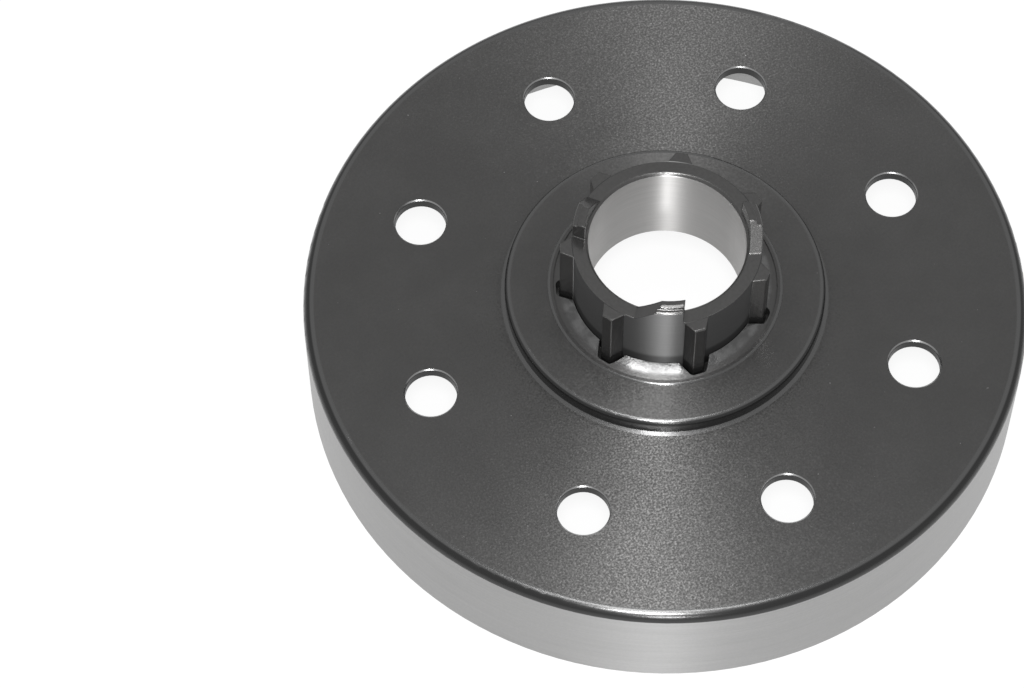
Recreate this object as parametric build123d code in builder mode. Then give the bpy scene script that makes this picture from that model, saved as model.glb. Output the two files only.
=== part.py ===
"""Chainsaw clutch drum with a seven-spline hub for a loose rim sprocket.

A pressed steel cup lies mouth down. Its face has a ring of vent holes and a raised boss in
the middle, pierced to the outline of the splines. The hub comes up through that hole from
inside the cup: its flange lies in the recess under the boss and its splines lock in the
notches, where the edge of the hole is staked up round them.

Frame: millimetres, +Z up along the bore, origin on the bore axis in the plane of the open rim.
The first vent hole is on +X.
"""

import os
from math import radians, sin

from build123d import *

# Cup
drum_diameter = 65.4
drum_height = 11.25
wall_thickness = 1.35
face_thickness = 1.0
corner_radius = 0.9
inner_corner_chamfer = 0.7
mouth_chamfer = 0.4
rim_edge_chamfer = 0.2

# Ring of vent holes in the cup's face
vent_count = 8
vent_circle_diameter = 46.8
vent_diameter = 4.65
vent_edge_chamfer = 0.15

# Raised boss in the middle of the cup's face
boss_diameter = 28.9
boss_rise = 1.6
boss_edge_radius = 0.5
boss_foot_width = 0.35
boss_foot_rise = 0.12
boss_side_thickness = 0.9

# Staked collar round the hole in the boss
collar_diameter = 21.2
collar_step = 0.12
collar_ridge_width = 0.5
collar_ridge_drop = 0.1
stake_width = 0.95
stake_foot = 0.17
stake_rise = 0.4

# Hub: flange inside the cup, barrel through the boss
bore_diameter = 14.0
bore_chamfer = 0.25
barrel_diameter = 16.85
barrel_height = 8.7  # from the cup's face to the end of the barrel
flange_clearance = 0.1  # between the flange and the recess it lies in
hole_clearance = 0.1  # between the barrel and the hole in the boss
notch_clearance = 0.35  # between each spline and the notch it stands in

# Splines, the whole length of the barrel
spline_count = 7
spline_tip_diameter = 19.0
spline_tip_width = 0.95
spline_root_width = 2.1
spline_tip_radius = 0.12
spline_end_chamfer = 0.1
spline_root_depth = 0.7  # how far each spline reaches into the barrel's wall
hub_turn = 3.2  # degrees from the first vent hole to the first spline

# Drive dogs on the barrel's end, each in a gap between two splines
dog_gaps = (2, 4, 6)  # counted anticlockwise from the gap after the first spline
dog_height = 1.95
dog_face_angle = 18.5  # upright driving face; angles in degrees from the middle of the gap
dog_crest_angle = 3.5
dog_ramp_angle = -13.0
dog_setback = 0.25  # from the bore's wall to the dog's inner face
dog_land_width = 0.4
dog_bevel_width = 0.3
dog_bevel_drop = 0.07
dog_ledge_drop = 0.3
dog_edge_chamfer = 0.15
dog_root = 0.6  # how far each dog reaches down into the barrel's wall

# Levels and radii that follow from the sizes above
drum_radius = drum_diameter / 2
inner_radius = drum_radius - wall_thickness
inner_face_level = drum_height - face_thickness
boss_radius = boss_diameter / 2
boss_level = drum_height + boss_rise
boss_inner_level = boss_level - face_thickness
recess_radius = boss_radius - boss_side_thickness
flange_radius = recess_radius - flange_clearance
collar_radius = collar_diameter / 2
collar_inner_radius = collar_radius - collar_ridge_width
bore_radius = bore_diameter / 2
barrel_radius = barrel_diameter / 2
barrel_level = drum_height + barrel_height
hole_radius = barrel_radius + hole_clearance
spline_radius = spline_tip_diameter / 2
spline_inner_radius = barrel_radius - spline_root_depth
gap_angle = 360 / spline_count
dog_inner_radius = bore_radius + dog_setback
dog_land_radius = dog_inner_radius + dog_land_width
dog_ledge_radius = dog_land_radius + dog_bevel_width
dog_level = barrel_level + dog_height
dog_bevel_level = dog_level - dog_bevel_drop
dog_ledge_level = dog_level - dog_ledge_drop
dog_middle_radius = (dog_inner_radius + barrel_radius) / 2


def round_corner(sketch, corner, radius):
    """Rounds the sketch's vertex nearest to the corner given."""
    fillet(sketch.vertices().sort_by_distance(corner)[0], radius)


def bevel_corner(sketch, corner, length):
    """Bevels the sketch's vertex nearest to the corner given."""
    chamfer(sketch.vertices().sort_by_distance(corner)[0], length)


def across(angle):
    """Sideways distance from the middle of a gap to a line at this angle on a dog."""
    return dog_middle_radius * sin(radians(angle))


os.makedirs("parts", exist_ok=True)

# Outline of one spline on +X, rooted inside the barrel's wall, and of the notch it fills
with BuildSketch() as spline_outline:
    with BuildLine():
        Polyline(
            (spline_inner_radius, -spline_root_width / 2),
            (barrel_radius, -spline_root_width / 2),
            (spline_radius, -spline_tip_width / 2),
            (spline_radius, spline_tip_width / 2),
            (barrel_radius, spline_root_width / 2),
            (spline_inner_radius, spline_root_width / 2),
            close=True,
        )
    make_face()
    fillet(spline_outline.vertices().group_by(Axis.X)[-1], spline_tip_radius)

with BuildSketch() as notch_outline:
    add(spline_outline.sketch)
    offset(amount=notch_clearance)

# Drum cup: one pressed and turned sheet, revolved from its half section, then pierced
with BuildPart() as drum_cup:
    with BuildSketch(Plane.XZ) as cup_section:
        with BuildLine():
            Polyline(
                (inner_radius, 0),
                (drum_radius, 0),
                (drum_radius, drum_height),
                (boss_radius + boss_foot_width, drum_height),
                (boss_radius, drum_height + boss_foot_rise),
                (boss_radius, boss_level),
                (collar_radius, boss_level),
                (collar_radius, boss_level + collar_step),
                (collar_inner_radius, boss_level + collar_step),
                (collar_inner_radius, boss_level + collar_step - collar_ridge_drop),
                (hole_radius + stake_width, boss_level + stake_foot),
                (hole_radius, boss_level + stake_rise),
                (hole_radius, boss_inner_level),
                (recess_radius, boss_inner_level),
                (recess_radius, inner_face_level),
                (inner_radius, inner_face_level),
                close=True,
            )
        make_face()
        bevel_corner(cup_section, (inner_radius, 0), mouth_chamfer)
        bevel_corner(cup_section, (drum_radius, 0), rim_edge_chamfer)
        round_corner(cup_section, (drum_radius, drum_height), corner_radius)
        bevel_corner(cup_section, (inner_radius, inner_face_level), inner_corner_chamfer)
        round_corner(cup_section, (boss_radius, boss_level), boss_edge_radius)
    revolve(axis=Axis.Z)
    with BuildSketch(Plane.XY.offset(boss_inner_level)):
        with PolarLocations(0, spline_count, start_angle=hub_turn):
            add(notch_outline.sketch)
    extrude(amount=face_thickness + stake_rise, mode=Mode.SUBTRACT)
    with Locations((0, 0, drum_height)):
        with PolarLocations(vent_circle_diameter / 2, vent_count):
            Hole(vent_diameter / 2)
    round_edges = drum_cup.edges().filter_by(GeomType.CIRCLE)
    vent_edges = round_edges.filter_by(lambda edge: abs(edge.radius - vent_diameter / 2) < 1e-6)
    chamfer(vent_edges.group_by(Axis.Z)[-1], vent_edge_chamfer)
drum_cup.part.label = "drum_cup"
export_step(drum_cup.part, "parts/drum_cup.step")

# One drive dog on +X: a ring with its ledge, bevel and land, cut down by its side outline
with BuildPart() as drive_dog:
    with BuildSketch(Plane.XZ) as dog_section:
        with BuildLine():
            Polyline(
                (dog_inner_radius, barrel_level - dog_root),
                (barrel_radius, barrel_level - dog_root),
                (barrel_radius, dog_ledge_level),
                (dog_ledge_radius, dog_ledge_level),
                (dog_ledge_radius, dog_bevel_level),
                (dog_land_radius, dog_level),
                (dog_inner_radius, dog_level),
                close=True,
            )
        make_face()
        bevel_corner(dog_section, (barrel_radius, dog_ledge_level), dog_edge_chamfer)
    revolve(axis=Axis.Z)
    with BuildSketch(Plane.YZ.offset(dog_inner_radius / 2)):
        with BuildLine():
            Polyline(
                (across(dog_ramp_angle), barrel_level - dog_root),
                (across(dog_face_angle), barrel_level - dog_root),
                (across(dog_face_angle), dog_level),
                (across(dog_crest_angle), dog_level),
                (across(dog_ramp_angle), barrel_level),
                close=True,
            )
        make_face()
    extrude(amount=spline_radius, mode=Mode.INTERSECT)

# Splined hub: flange and barrel in one turning, with the splines and the drive dogs
with BuildPart() as splined_hub:
    with BuildSketch(Plane.XZ) as hub_section:
        with BuildLine():
            Polyline(
                (bore_radius, inner_face_level),
                (flange_radius, inner_face_level),
                (flange_radius, boss_inner_level),
                (barrel_radius, boss_inner_level),
                (barrel_radius, barrel_level),
                (bore_radius, barrel_level),
                close=True,
            )
        make_face()
        bevel_corner(hub_section, (bore_radius, inner_face_level), bore_chamfer)
        bevel_corner(hub_section, (bore_radius, barrel_level), bore_chamfer)
    revolve(axis=Axis.Z)
    with BuildSketch(Plane.XY.offset(boss_inner_level)):
        with PolarLocations(0, spline_count, start_angle=hub_turn):
            add(spline_outline.sketch)
    extrude(amount=barrel_level - boss_inner_level)
    with BuildSketch(Plane.XZ):
        with BuildLine():
            Polyline(
                (spline_radius - spline_end_chamfer, barrel_level),
                (spline_radius + spline_end_chamfer, barrel_level),
                (spline_radius + spline_end_chamfer, barrel_level - 2 * spline_end_chamfer),
                close=True,
            )
        make_face()
    revolve(axis=Axis.Z, mode=Mode.SUBTRACT)
    for gap in dog_gaps:
        add(drive_dog.part.rotate(Axis.Z, hub_turn + (gap + 0.5) * gap_angle))
splined_hub.part.label = "splined_hub"
export_step(splined_hub.part, "parts/splined_hub.step")
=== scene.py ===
"""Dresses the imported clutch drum.

Dark skin on the cup's pressed faces, turned wall and bare stakes, and a dark splined hub with a
ground bore.
"""

import math

import bpy
from mathutils import Matrix, Vector

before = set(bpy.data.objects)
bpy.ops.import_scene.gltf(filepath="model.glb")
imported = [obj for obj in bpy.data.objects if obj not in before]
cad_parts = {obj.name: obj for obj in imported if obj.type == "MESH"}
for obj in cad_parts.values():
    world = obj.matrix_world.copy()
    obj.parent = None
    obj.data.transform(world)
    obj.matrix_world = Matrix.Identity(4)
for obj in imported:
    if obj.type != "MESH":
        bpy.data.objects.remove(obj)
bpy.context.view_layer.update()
scene = bpy.context.scene
scene.view_settings.view_transform = "Standard"

MILLIMETRES = 1000.0  # in a metre

# Sizes of the part, in millimetres, that the masks in the materials follow
DRUM_RADIUS = 32.7
DRUM_HEIGHT = 11.25
CORNER_RADIUS = 0.9
INNER_RADIUS = 31.35
INNER_FACE_LEVEL = 10.25
BOSS_LEVEL = 12.85
BOSS_RADIUS = 14.45
BOSS_EDGE_RADIUS = 0.5
BOSS_FOOT_WIDTH = 0.35
COLLAR_RADIUS = 10.6
COLLAR_LEVEL = 12.97
COLLAR_EDGE_RADIUS = 0.25  # of the shading only: the solid's edge is sharp there
STAKE_RADIUS = 9.45
BARREL_RADIUS = 8.425
BORE_RADIUS = 7.0
VENT_CIRCLE_RADIUS = 23.4
VENT_RADIUS = 2.325
VENT_COUNT = 8

# Where the rolled edges start and end
CORNER_START = DRUM_RADIUS - CORNER_RADIUS
CORNER_FOOT = DRUM_HEIGHT - CORNER_RADIUS
BOSS_START = BOSS_RADIUS - BOSS_EDGE_RADIUS
BOSS_FOOT_RADIUS = BOSS_RADIUS + BOSS_FOOT_WIDTH
COLLAR_START = COLLAR_RADIUS - COLLAR_EDGE_RADIUS

# Masks: the span each one comes in over, in millimetres from the radius or level that it follows
CORNER_SPAN = (-0.15, 0.0)
CORNER_SIDE_SPAN = (0.2, 0.38)
BOSS_EDGE_SOFT = 0.1
BOSS_EDGE_ABOVE = (0.3, 0.6)
BOSS_SIDE_IN = 0.27
BOSS_SIDE_OUT = 0.03
BOSS_SIDE_SOFT = 0.06
BOSS_SIDE_ABOVE = (0.12, 0.25)
COLLAR_EDGE_SOFT = 0.03
COLLAR_EDGE_ABOVE = (0.0, 0.04)
COLLAR_ROLL_ABOVE = 0.01
WALL_SPAN = (-0.3, -0.2)
WALL_BELOW = (0.12, 0.02)
TRACK_SPAN = (-0.3, -0.1)
TRACK_BELOW = (-0.4, -0.7)
STAKE_SPAN = (0.3, -0.2)
STAKE_ABOVE = (0.05, 0.15)
VENT_EDGE_SPAN = (0.15, 0.12)
VENT_WALL_SPAN = (0.04, 0.02)
BARREL_REACH = 0.04
BARREL_SOFT = 0.02
BARREL_FOOT_SHADE_BELOW = (1.7, 1.1)
BORE_SPAN = (0.04, 0.02)
FLANGE_BELOW = (0.3, 0.2)

# Greys of the finishes, as linear levels: dark and light where a noise goes from one to the other
SKIN_TONES = (0.09, 0.102)
SKIN_GRAIN_TONE = 0.075
SPECK_TONE = 0.5
CREST_TONE = 0.125
# painted shade: a dark reflection painted on the sides below the rolled edges
BELOW_CREST_SHADE_TONE = 0.035
TURNED_TONES = (0.37, 0.41)
TURNED_STREAK_TONE = 0.25
TURNED_GRAIN_TONE = 0.3
STAKE_TONES = (0.14, 0.21)
VENT_EDGE_TONE = 0.36
# painted shade inside the vent holes
VENT_WALL_SHADE_TONE = 0.045
HUB_TONES = (0.105, 0.12)
BARREL_TONES = (0.085, 0.115)
# painted shade at the barrel's foot
BARREL_FOOT_SHADE_TONE = 0.02
BORE_TONES = (0.43, 0.49)
FLANGE_TONES = (0.2, 0.3)

# Warmth of those greys
SKIN_WARMTH = 0.012
TURNED_WARMTH = 0.004
HUB_WARMTH = 0.01
BORE_WARMTH = 0.012

# Share of a second tone where its noise is full
SKIN_GRAIN_SHARE = 0.25
SPECK_SHARE = 0.6
TURNED_STREAK_SHARE = 0.15
TURNED_GRAIN_SHARE = 0.2
BARREL_FOOT_SHADE_SHARE = 0.7

# Gloss
SKIN_ROUGHNESS = 0.42
ROLLED_ROUGHNESS = 0.24
TURNED_ROUGHNESS = 0.33
STAKE_ROUGHNESS = 0.15
VENT_EDGE_ROUGHNESS = 0.3
VENT_WALL_ROUGHNESS = 0.4
HUB_ROUGHNESS = 0.24
BARREL_ROUGHNESS = 0.48
BORE_ROUGHNESS = 0.38
FLANGE_ROUGHNESS = 0.3
DARK_METALLIC = 0.9
FILM_WEIGHT = 0.5  # thin oil film on the dark skin
FILM_ROUGHNESS = 0.2

# Stretch of the highlights, and its turn from along the turning marks to across them
SKIN_STRETCH = 0.8
TURNED_STRETCH = 0.95
BARREL_STRETCH = 1.0
BORE_STRETCH = 1.0
FLANGE_STRETCH = 0.8
ACROSS_THE_LAY = 0.25

# Scales of the noises, in features per millimetre
GRAIN_SCALE = 4.0
MOTTLE_SCALE = 0.16
SPECK_SCALE = 2.7
FACET_SCALE = 6.0
RIPPLE_SCALE = 5.5
STAKE_SCALE = 1.1

# Turning marks per millimetre across them, and how finely they break up along their length
TURNED_MARKS = 9.0
TURNED_STREAKS = 0.8
HUB_MARKS = 7.0
BORE_MARKS = 14.0
MARK_BREAKS = 1.5
STREAK_BREAKS = 3.0

# Fineness of the noises
PLAIN_DETAIL = 3.0
PLAIN_NOISE = 0.6
GRAIN_DETAIL = 2.0
MOTTLE_DETAIL = 4.0
SPECK_NOISE = 0.5
STAKE_NOISE = 0.55
HUB_GRAIN_NOISE = 0.65
LAY_DETAIL = 4.0
LAY_NOISE = 0.65
FACET_DETAIL = 1.5

# Parts of a noise's range that a blend goes over
BROAD = (0.3, 0.7)
NARROW = (0.35, 0.65)
UPPER = (0.45, 0.75)
PEAKS = (0.78, 0.81)
RIPPLE_RANGE = (0.2, 0.8)
RIPPLE_SWING = (-0.5, 0.5)  # what the ripple's range is turned into
NOISE_MIDDLE = (0.5, 0.5, 0.5)

# Tilt of the grain's facets, and how far the skin's grain leans outward and inward on top of it
ROLLED_TILT = 0.06
LEVEL_TILT = 0.24
HUB_TILT = 0.08
BOSS_LEAN = 0.15
FACE_LEAN = 0.52

# Relief: depth in metres and strength
TURNED_RELIEF = (0.00001, 0.25)
STAKE_RELIEF = (0.00008, 0.35)
VENT_EDGE_RELIEF = (0.00002, 0.3)
BARREL_RELIEF = (0.000004, 0.3)
BORE_RELIEF = (0.00001, 0.2)
MARKS_IN_RELIEF = 0.4

# Worn edges of the hub, in metres
WORN_RADIUS = 0.00018
WORN_SAMPLES = 8

# Keeps the length of a direction above nothing where it is not used, in millimetres
NEVER_ZERO = 0.001

# Camera, solved from the drum's outline in the photograph
IMAGE_WIDTH = 1024
FOCAL_PIXELS = 3637.78
SENSOR_WIDTH = 36.0
CAMERA_AZIMUTH = -30.08
CAMERA_ELEVATION = 59.19
CAMERA_DISTANCE = 0.32899
CAMERA_SWING = 2.3536
CAMERA_TILT = -0.947
CAMERA_ROLL = -3.152
CLIP_START = 0.01
CLIP_END = 20.0

# Light
FLASH_RAISE = 0.02
FLASH_SIZE = 0.05
FLASH_POWER = 0.85
FILL_ELEVATION = 30.0
FILL_DISTANCE = 0.35
FILL_SIZE = 0.04
FILL_POWER = 0.28
LAMP_LEAN = 4.4  # degrees from overhead, away from the camera
LAMP_DISTANCE = 0.5
LAMP_WIDTH = 0.15
LAMP_DEPTH = 0.1
LAMP_POWER = 0.34
ROOM_LEVEL = 0.55

# Floor: it lies a hair below the rim, so that the two faces do not coincide
FLOOR_LEVEL = -0.00002
FLOOR_HALF_WIDTH = 3.0
FLOOR_TONE = 0.8
FLOOR_SHADOW_TONE = 0.12
FLOOR_GLOW = 0.9


class Graph:
    """A material's node graph, with short calls for the nodes that the finishes use."""

    def __init__(self, name):
        self.material = bpy.data.materials.new(name)
        self.material.use_nodes = True
        self.tree = self.material.node_tree
        self.tree.nodes.clear()
        self.output = self.tree.nodes.new("ShaderNodeOutputMaterial")

    def put(self, socket, value):
        if isinstance(value, bpy.types.NodeSocket):
            self.tree.links.new(value, socket)
        else:
            socket.default_value = value

    def node(self, kind, inputs=None, **settings):
        made = self.tree.nodes.new(kind)
        for key, value in settings.items():
            setattr(made, key, value)
        for key, value in (inputs or {}).items():
            self.put(made.inputs[key], value)
        return made

    def math(self, operation, first, second=0.0):
        return self.node("ShaderNodeMath", {0: first, 1: second}, operation=operation).outputs[0]

    def product(self, *factors):
        total = factors[0]
        for factor in factors[1:]:
            total = self.math("MULTIPLY", total, factor)
        return total

    def largest(self, *values):
        total = values[0]
        for value in values[1:]:
            total = self.math("MAXIMUM", total, value)
        return total

    def invert(self, value):
        return self.math("SUBTRACT", 1.0, value)

    def step(self, value, low, high, bottom=0.0, top=1.0):
        """Goes smoothly from bottom to top as the value goes from low to high."""
        inputs = {
            "Value": value,
            "From Min": low,
            "From Max": high,
            "To Min": bottom,
            "To Max": top,
        }
        return self.node("ShaderNodeMapRange", inputs, interpolation_type="SMOOTHSTEP").outputs[0]

    def past(self, value, place, span, top=1.0):
        """Comes in from nothing to top as the value crosses a span laid off from the place."""
        return self.step(value, place + span[0], place + span[1], 0.0, top)

    def between(self, value, low, high, soft):
        """One between low and high, falling to nothing over soft on either side."""
        rise = self.step(value, low - soft, low + soft)
        fall = self.step(value, high + soft, high - soft)
        return self.math("MULTIPLY", rise, fall)

    def combine(self, x, y, z):
        return self.node("ShaderNodeCombineXYZ", {0: x, 1: y, 2: z}).outputs[0]

    def noise(self, vector, scale, detail=PLAIN_DETAIL, roughness=PLAIN_NOISE, output=0):
        inputs = {"Vector": vector, "Scale": scale, "Detail": detail, "Roughness": roughness}
        return self.node("ShaderNodeTexNoise", inputs).outputs[output]

    def mix_colour(self, factor, first, second):
        inputs = {0: factor, 6: first, 7: second}
        return self.node("ShaderNodeMix", inputs, data_type="RGBA").outputs[2]

    def mix_vector(self, factor, first, second):
        inputs = {0: factor, 4: first, 5: second}
        return self.node("ShaderNodeMix", inputs, data_type="VECTOR").outputs[1]

    def mix_shader(self, factor, first, second):
        return self.node("ShaderNodeMixShader", {0: factor, 1: first, 2: second}).outputs[0]

    def bump(self, height, distance, strength):
        inputs = {"Height": height, "Distance": distance, "Strength": strength}
        return self.node("ShaderNodeBump", inputs).outputs[0]

    def vector(self, operation, first, second):
        inputs = {0: first, 1: second}
        return self.node("ShaderNodeVectorMath", inputs, operation=operation).outputs[0]

    def scaled(self, vector, amount):
        inputs = {0: vector, "Scale": amount}
        return self.node("ShaderNodeVectorMath", inputs, operation="SCALE").outputs[0]

    def unit(self, vector):
        return self.node("ShaderNodeVectorMath", {0: vector}, operation="NORMALIZE").outputs[0]

    def outward(self, where, radius, length):
        """A vector of this length, level and straight away from the bore's axis."""
        share = self.math("DIVIDE", length, radius)
        return self.vector("MULTIPLY", where, self.combine(share, share, 0.0))

    def rolled(self, where, radius, height, centre_radius, centre_height):
        """True normal of an edge rolled round the bore: away from the ring at its centre."""
        out = self.math("MAXIMUM", self.math("SUBTRACT", radius, centre_radius), 0.0)
        up = self.math("MAXIMUM", self.math("SUBTRACT", height, centre_height), NEVER_ZERO)
        away = self.vector("ADD", self.outward(where, radius, out), self.combine(0.0, 0.0, up))
        settings = {"vector_type": "NORMAL", "convert_from": "OBJECT", "convert_to": "WORLD"}
        return self.node("ShaderNodeVectorTransform", {0: self.unit(away)}, **settings).outputs[0]

    def facets(self, normal, where, amount):
        """A normal tilted at random from one small grain to the next, so that the grains glint."""
        grains = self.noise(where, FACET_SCALE, FACET_DETAIL, output="Color")
        tilt = self.scaled(self.vector("SUBTRACT", grains, NOISE_MIDDLE), amount)
        return self.unit(self.vector("ADD", normal, tilt))

    def metal(self, colour, roughness, normal=None, metallic=1.0, anisotropic=0.0, film=0.0):
        inputs = {
            "Base Color": colour,
            "Roughness": roughness,
            "Metallic": metallic,
            "Anisotropic": anisotropic,
            "Anisotropic Rotation": ACROSS_THE_LAY,
            "Coat Weight": film,
            "Coat Roughness": FILM_ROUGHNESS,
        }
        if normal is not None:
            inputs["Normal"] = normal
        if anisotropic:
            tangent = self.node("ShaderNodeTangent", direction_type="RADIAL", axis="Z")
            inputs["Tangent"] = tangent.outputs[0]
        return self.node("ShaderNodeBsdfPrincipled", inputs).outputs[0]

    def finish(self, shader):
        self.put(self.output.inputs["Surface"], shader)
        return self.material


def grey(level, warm=0.0):
    """A grey of this linear level, a little warmer or cooler."""
    return (level * (1 + warm), level, level * (1 - warm), 1.0)


def blend(graph, factor, tones, warm=0.0):
    """A grey between a dark and a light tone."""
    dark, light = tones
    return graph.mix_colour(factor, grey(dark, warm), grey(light, warm))


def places(graph):
    """Position in millimetres, and its parts: radius and angle round the bore, and height."""
    where = graph.scaled(graph.node("ShaderNodeTexCoord").outputs["Object"], MILLIMETRES)
    x, y, height = graph.node("ShaderNodeSeparateXYZ", {0: where}).outputs
    square = graph.math("ADD", graph.product(x, x), graph.product(y, y))
    radius = graph.math("SQRT", square)
    angle = graph.math("ARCTAN2", y, x)
    return where, radius, angle, height


def vent_distance(graph, radius, angle):
    """Distance from the axis of the nearest vent hole, in millimetres."""
    spacing = 2 * math.pi / VENT_COUNT
    turns = graph.math("ROUND", graph.math("DIVIDE", angle, spacing))
    off = graph.math("SUBTRACT", angle, graph.math("MULTIPLY", turns, spacing))
    along = graph.math("MULTIPLY", graph.math("COSINE", off), radius)
    aside = graph.math("MULTIPLY", graph.math("SINE", off), radius)
    outward = graph.math("SUBTRACT", along, VENT_CIRCLE_RADIUS)
    square = graph.math("ADD", graph.product(outward, outward), graph.product(aside, aside))
    return graph.math("SQRT", square)


def lay(graph, radius, angle, height, fine, breaks=MARK_BREAKS):
    """Turning marks: noise drawn out along the circumference, fine across it."""
    across = graph.math("MULTIPLY", graph.math("ADD", radius, height), fine)
    ring = graph.combine(
        graph.math("MULTIPLY", graph.math("COSINE", angle), breaks),
        graph.math("MULTIPLY", graph.math("SINE", angle), breaks),
        across,
    )
    return graph.noise(ring, 1.0, LAY_DETAIL, LAY_NOISE)


def cup_steel():
    """Dark skin on pressed faces, bright turned wall and track, bare metal at holes and stakes, and
    painted shade below the rolled edges and inside the holes.
    """
    graph = Graph("cup_steel")
    where, radius, angle, height = places(graph)

    # Masks of the rolled edges, and of the level skin that is left between them
    corner = graph.past(radius, CORNER_START, CORNER_SPAN)
    boss_edge = graph.product(
        graph.between(radius, BOSS_START, BOSS_FOOT_RADIUS, BOSS_EDGE_SOFT),
        graph.past(height, INNER_FACE_LEVEL, BOSS_EDGE_ABOVE),
    )
    collar_edge = graph.product(
        graph.between(radius, COLLAR_START, COLLAR_RADIUS + COLLAR_EDGE_SOFT, COLLAR_EDGE_SOFT),
        graph.past(height, BOSS_LEVEL, COLLAR_EDGE_ABOVE),
    )
    rolled = graph.largest(corner, boss_edge, collar_edge)
    level = graph.invert(rolled)
    # Masks of the sides below the corner and boss edges, where shade is painted
    corner_side_shade = graph.past(radius, CORNER_START, CORNER_SIDE_SPAN)
    side_start, side_end = BOSS_START + BOSS_SIDE_IN, BOSS_RADIUS + BOSS_SIDE_OUT
    boss_side_shade = graph.product(
        graph.between(radius, side_start, side_end, BOSS_SIDE_SOFT),
        graph.past(height, DRUM_HEIGHT, BOSS_SIDE_ABOVE),
    )

    # Skin: even grey with fine grain and a few specks, rubbed on rolled edges, with painted shade
    # darkening the sides below them
    grain = graph.noise(where, GRAIN_SCALE, GRAIN_DETAIL)
    mottle = graph.noise(where, MOTTLE_SCALE, MOTTLE_DETAIL)
    specks = graph.step(graph.noise(where, SPECK_SCALE, GRAIN_DETAIL, SPECK_NOISE), *PEAKS)
    tone = blend(graph, graph.step(mottle, *BROAD), SKIN_TONES, SKIN_WARMTH)
    grain_share = graph.step(grain, *NARROW, 0.0, SKIN_GRAIN_SHARE)
    tone = graph.mix_colour(grain_share, tone, grey(SKIN_GRAIN_TONE))
    tone = graph.mix_colour(graph.product(specks, SPECK_SHARE), tone, grey(SPECK_TONE))
    tone = graph.mix_colour(rolled, tone, grey(CREST_TONE))
    tone = graph.mix_colour(graph.largest(corner_side_shade, boss_side_shade), tone, grey(BELOW_CREST_SHADE_TONE))

    # True normals of the rolled edges, each from where it starts, its centre's height and its foot
    corner_roll = (CORNER_START, CORNER_FOOT, CORNER_FOOT)
    boss_roll = (BOSS_START, BOSS_LEVEL - BOSS_EDGE_RADIUS, BOSS_LEVEL - BOSS_EDGE_RADIUS)
    collar_roll = (COLLAR_START, COLLAR_LEVEL - COLLAR_EDGE_RADIUS, BOSS_LEVEL + COLLAR_ROLL_ABOVE)
    normal = graph.node("ShaderNodeNewGeometry").outputs["Normal"]
    for start, centre_height, foot in (collar_roll, boss_roll, corner_roll):
        outside = graph.math("GREATER_THAN", radius, start)
        above = graph.math("GREATER_THAN", height, foot)
        true_normal = graph.rolled(where, radius, height, start, centre_height)
        normal = graph.mix_vector(graph.product(outside, above), normal, true_normal)

    # The grain of level skin leans outward and inward, so that it glints along the streak of light
    grained = graph.facets(normal, where, graph.step(level, 0.0, 1.0, ROLLED_TILT, LEVEL_TILT))
    ripple_noise = graph.noise(where, RIPPLE_SCALE, FACET_DETAIL)
    ripple = graph.step(ripple_noise, *RIPPLE_RANGE, *RIPPLE_SWING)
    most = graph.step(radius, BOSS_RADIUS, BOSS_FOOT_RADIUS, BOSS_LEAN, FACE_LEAN)
    lean = graph.outward(where, radius, graph.product(ripple, most, level))
    skin_normal = graph.unit(graph.vector("ADD", grained, lean))
    skin_roughness = graph.step(level, 0.0, 1.0, ROLLED_ROUGHNESS, SKIN_ROUGHNESS)
    skin = graph.metal(tone, skin_roughness, skin_normal, DARK_METALLIC, SKIN_STRETCH, FILM_WEIGHT)

    # Turned metal, with circular marks that the light stretches across
    marks = lay(graph, radius, angle, height, TURNED_MARKS)
    streaks = lay(graph, radius, angle, height, TURNED_STREAKS, STREAK_BREAKS)
    bright = blend(graph, graph.step(marks, *BROAD), TURNED_TONES, TURNED_WARMTH)
    streak_share = graph.step(streaks, *UPPER, 0.0, TURNED_STREAK_SHARE)
    bright = graph.mix_colour(streak_share, bright, grey(TURNED_STREAK_TONE))
    grain_share = graph.step(grain, *BROAD, 0.0, TURNED_GRAIN_SHARE)
    bright = graph.mix_colour(grain_share, bright, grey(TURNED_GRAIN_TONE))
    turned = graph.metal(
        bright, TURNED_ROUGHNESS, graph.bump(marks, *TURNED_RELIEF), anisotropic=TURNED_STRETCH
    )

    # Bare sheared metal at the stakes and round the vent holes, and painted shade darkening the
    # holes' walls
    uneven = graph.noise(where, STAKE_SCALE, roughness=STAKE_NOISE)
    bare_tone = blend(graph, graph.step(uneven, *NARROW), STAKE_TONES)
    bare = graph.metal(bare_tone, STAKE_ROUGHNESS, graph.bump(uneven, *STAKE_RELIEF))
    edge_normal = graph.bump(grain, *VENT_EDGE_RELIEF)
    edge = graph.metal(grey(VENT_EDGE_TONE), VENT_EDGE_ROUGHNESS, edge_normal)
    hole_shade = graph.metal(grey(VENT_WALL_SHADE_TONE), VENT_WALL_ROUGHNESS)

    outside_wall = graph.product(
        graph.past(radius, DRUM_RADIUS, WALL_SPAN),
        graph.past(height, CORNER_FOOT, WALL_BELOW),
    )
    track = graph.product(
        graph.past(radius, INNER_RADIUS, TRACK_SPAN),
        graph.past(height, INNER_FACE_LEVEL, TRACK_BELOW),
    )
    stake = graph.product(
        graph.past(radius, STAKE_RADIUS, STAKE_SPAN),
        graph.past(height, BOSS_LEVEL, STAKE_ABOVE),
    )
    from_vent = vent_distance(graph, radius, angle)
    hole_edge = graph.past(from_vent, VENT_RADIUS, VENT_EDGE_SPAN)
    hole_wall = graph.past(from_vent, VENT_RADIUS, VENT_WALL_SPAN)

    shader = graph.mix_shader(graph.largest(outside_wall, track), skin, turned)
    shader = graph.mix_shader(stake, shader, bare)
    shader = graph.mix_shader(hole_edge, shader, edge)
    shader = graph.mix_shader(hole_wall, shader, hole_shade)
    return graph.finish(shader)


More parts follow.
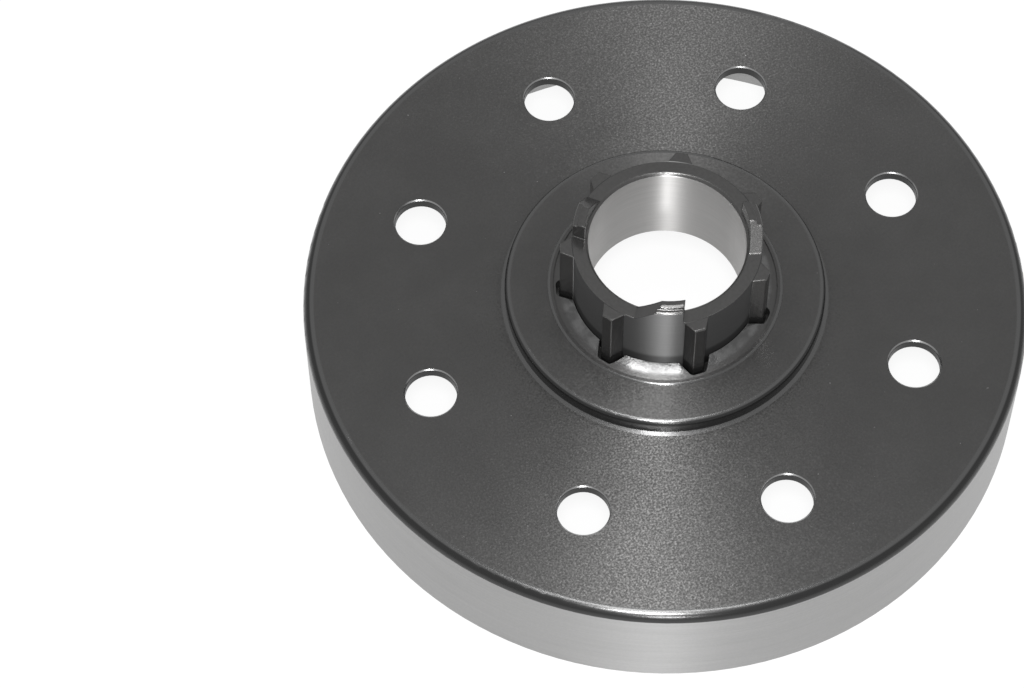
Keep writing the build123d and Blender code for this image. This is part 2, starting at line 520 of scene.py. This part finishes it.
def hub_steel():
    """Dark hardened splines and dogs with worn edges, turned barrel and flange, ground bore, and
    painted shade at the barrel's foot.
    """
    graph = Graph("hub_steel")
    where, radius, angle, height = places(graph)

    grain = graph.noise(where, GRAIN_SCALE, roughness=HUB_GRAIN_NOISE)
    marks = lay(graph, radius, angle, height, HUB_MARKS)
    tone = blend(graph, graph.step(grain, *BROAD), HUB_TONES, HUB_WARMTH)
    worn = graph.node("ShaderNodeBevel", {"Radius": WORN_RADIUS}, samples=WORN_SAMPLES).outputs[0]
    dark = graph.metal(tone, HUB_ROUGHNESS, graph.facets(worn, where, HUB_TILT), DARK_METALLIC)

    relief = graph.math("ADD", grain, graph.product(marks, MARKS_IN_RELIEF))
    barrel_normal = graph.bump(relief, *BARREL_RELIEF)
    barrel_tone = blend(graph, marks, BARREL_TONES)
    # painted shade: the barrel darkens towards its foot, where it meets the stake
    foot = graph.past(height, BOSS_LEVEL, BARREL_FOOT_SHADE_BELOW, BARREL_FOOT_SHADE_SHARE)
    barrel_tone = graph.mix_colour(foot, barrel_tone, grey(BARREL_FOOT_SHADE_TONE))
    barrel = graph.metal(
        barrel_tone, BARREL_ROUGHNESS, barrel_normal, DARK_METALLIC, BARREL_STRETCH
    )

    ground_marks = lay(graph, radius, angle, height, BORE_MARKS)
    ground_tone = blend(graph, graph.step(ground_marks, *BROAD), BORE_TONES, BORE_WARMTH)
    ground_normal = graph.bump(ground_marks, *BORE_RELIEF)
    ground = graph.metal(ground_tone, BORE_ROUGHNESS, ground_normal, anisotropic=BORE_STRETCH)

    flange_tone = blend(graph, marks, FLANGE_TONES)
    flange = graph.metal(flange_tone, FLANGE_ROUGHNESS, anisotropic=FLANGE_STRETCH)

    barrel_low, barrel_high = BARREL_RADIUS - BARREL_REACH, BARREL_RADIUS + BARREL_REACH
    on_barrel = graph.between(radius, barrel_low, barrel_high, BARREL_SOFT)
    in_bore = graph.past(radius, BORE_RADIUS, BORE_SPAN)
    under = graph.past(height, INNER_FACE_LEVEL, FLANGE_BELOW)
    shader = graph.mix_shader(on_barrel, dark, barrel)
    shader = graph.mix_shader(under, shader, flange)
    shader = graph.mix_shader(in_bore, shader, ground)
    return graph.finish(shader)


def dress(node, material):
    """Gives a CAD node its finish."""
    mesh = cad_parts[node].data
    mesh.materials.clear()
    mesh.materials.append(material)


def make_floor():
    """A wide floor: white to the eye and in the metal, and it keeps a faint shadow."""
    graph = Graph("floor")
    paths = graph.node("ShaderNodeLightPath").outputs
    seen = graph.largest(
        paths["Is Camera Ray"], paths["Is Glossy Ray"], paths["Is Transmission Ray"]
    )
    diffuse = graph.node("ShaderNodeBsdfDiffuse", {"Color": grey(FLOOR_TONE)}).outputs[0]
    faint = graph.node("ShaderNodeBsdfDiffuse", {"Color": grey(FLOOR_SHADOW_TONE)}).outputs[0]
    glow = graph.node("ShaderNodeEmission", {"Color": grey(1.0), "Strength": FLOOR_GLOW}).outputs[0]
    shown = graph.node("ShaderNodeAddShader", {0: faint, 1: glow}).outputs[0]
    material = graph.finish(graph.mix_shader(seen, diffuse, shown))
    half = FLOOR_HALF_WIDTH
    mesh = bpy.data.meshes.new("floor")
    corners = [(-half, -half, 0), (half, -half, 0), (half, half, 0), (-half, half, 0)]
    mesh.from_pydata(corners, [], [(0, 1, 2, 3)])
    floor = bpy.data.objects.new("floor", mesh)
    scene.collection.objects.link(floor)
    mesh.materials.append(material)
    floor.location.z = FLOOR_LEVEL


def camera_axes():
    """Right, up and forward of the photograph's camera, and its place."""
    elevation = math.radians(CAMERA_ELEVATION)
    place = Vector((0, -math.cos(elevation), math.sin(elevation))) * CAMERA_DISTANCE
    forward = -place.normalized()
    right = Vector((1, 0, 0))
    up = right.cross(forward)
    for axis, degrees in ((up.copy(), CAMERA_SWING), (right.copy(), CAMERA_TILT)):
        turn = Matrix.Rotation(math.radians(degrees), 3, axis)
        forward, right, up = turn @ forward, turn @ right, turn @ up
    roll = Matrix.Rotation(math.radians(CAMERA_ROLL), 3, forward)
    right, up = roll @ right, roll @ up
    around = Matrix.Rotation(math.radians(CAMERA_AZIMUTH), 3, "Z")
    place = around @ place + Vector((0, 0, DRUM_HEIGHT / MILLIMETRES))
    return around @ right, around @ up, around @ forward, place


def make_camera():
    """The photograph's camera."""
    right, up, forward, place = camera_axes()
    data = bpy.data.cameras.new("camera")
    data.sensor_width = SENSOR_WIDTH
    data.lens = FOCAL_PIXELS / IMAGE_WIDTH * SENSOR_WIDTH
    data.clip_start = CLIP_START
    data.clip_end = CLIP_END
    camera = bpy.data.objects.new("camera", data)
    rows = Matrix((right, up, -forward)).transposed().to_4x4()
    camera.matrix_world = Matrix.Translation(place) @ rows
    scene.collection.objects.link(camera)
    scene.camera = camera


def area_light(name, place, target, width, depth, power):
    """A soft rectangular lamp that looks at the target."""
    data = bpy.data.lights.new(name, "AREA")
    data.shape = "RECTANGLE"
    data.size = width
    data.size_y = depth
    data.energy = power
    light = bpy.data.objects.new(name, data)
    light.location = place
    light.rotation_mode = "QUATERNION"
    light.rotation_quaternion = (target - place).to_track_quat("-Z", "Y")
    scene.collection.objects.link(light)


def make_lights():
    """A lamp by the camera, a weaker one below it, a broad one overhead, and a dim room."""
    _, up, forward, place = camera_axes()
    middle = Vector((0, 0, DRUM_HEIGHT / MILLIMETRES))
    away = Vector((forward.x, forward.y, 0)).normalized()
    area_light("flash", place + up * FLASH_RAISE, middle, FLASH_SIZE, FLASH_SIZE, FLASH_POWER)
    rise = math.radians(FILL_ELEVATION)
    fill_way = Vector((0, 0, math.sin(rise))) - away * math.cos(rise)
    fill_place = middle + fill_way * FILL_DISTANCE
    area_light("fill", fill_place, middle, FILL_SIZE, FILL_SIZE, FILL_POWER)
    lean = math.radians(LAMP_LEAN)
    lamp_way = Vector((0, 0, math.cos(lean))) + away * math.sin(lean)
    lamp_place = middle + lamp_way * LAMP_DISTANCE
    area_light("lamp", lamp_place, middle, LAMP_WIDTH, LAMP_DEPTH, LAMP_POWER)
    world = bpy.data.worlds.new("room")
    world.use_nodes = True
    world.node_tree.nodes["Background"].inputs[0].default_value = grey(ROOM_LEVEL)
    scene.world = world


dress("drum_cup", cup_steel())
dress("splined_hub", hub_steel())
make_floor()
make_camera()
make_lights()
